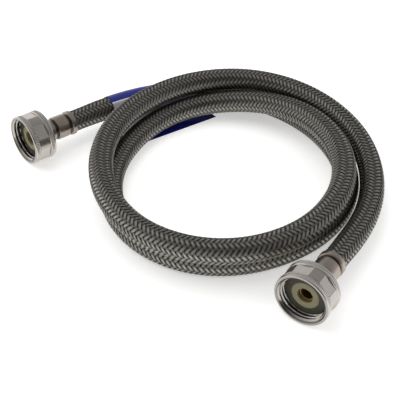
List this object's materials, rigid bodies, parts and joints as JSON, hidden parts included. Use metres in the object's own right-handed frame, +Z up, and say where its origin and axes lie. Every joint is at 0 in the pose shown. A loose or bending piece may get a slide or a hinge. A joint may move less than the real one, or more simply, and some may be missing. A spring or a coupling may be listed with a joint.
{
  "type": "braided supply line",
  "caption": "Flexible water supply hose in a stainless wire braid, laid in a loose coil, with a swivel nut and rubber washer on each end.",
  "frame": {"origin": "on the surface the hose lies on, under the middle of the box round its two couplings", "axes": "+Z up, +X along the longer side of the box round the couplings, towards the right coupling; both nuts open towards -Y"},
  "size_m": [0.2305, 0.2166, 0.0318],
  "materials": {
    "nickel_nut": "nickel plated, satin, slightly warm",
    "washer_rubber": "matt, olive tan",
    "stem_brass": "turned, dull",
    "ferrule_steel": "rolled and crimped, satin",
    "tube_rubber": "matt black",
    "ply_fibre": "braided polyester yarn",
    "braid_steel": "fine woven wire",
    "label_film": "printed film, blue bands and a pale grey field"
  },
  "bodies": {
    "hose": {"inner_tube": "tube_rubber", "fibre_ply": "ply_fibre", "braid_sleeve": "braid_steel", "label_tag": "label_film", "left_stem": "stem_brass", "left_ferrule": "ferrule_steel", "right_stem": "stem_brass", "right_ferrule": "ferrule_steel"},
    "left_seal": {"left_washer": "washer_rubber"},
    "left_swivel": {"left_nut": "nickel_nut"},
    "right_seal": {"right_washer": "washer_rubber"},
    "right_swivel": {"right_nut": "nickel_nut"}
  },
  "joints": [
    {"name": "left_nut_spin", "type": "hinge", "parent": "hose", "child": "left_seal", "pos_m": [-0.08425, 0.06099, 0.01588], "axis": [-0.7652, -0.6417, 0.0518], "continuous": true},
    {"name": "left_nut_float", "type": "slide", "parent": "left_seal", "child": "left_swivel", "axis": [-0.7652, -0.6417, 0.0518], "range_m": [0, 0.005]},
    {"name": "right_nut_spin", "type": "hinge", "parent": "hose", "child": "right_seal", "pos_m": [0.07579, -0.07235, 0.01602], "axis": [-0.56, -0.8266, 0.056], "continuous": true},
    {"name": "right_nut_float", "type": "slide", "parent": "right_seal", "child": "right_swivel", "axis": [-0.56, -0.8266, 0.056], "range_m": [0, 0.005]}
  ]
}
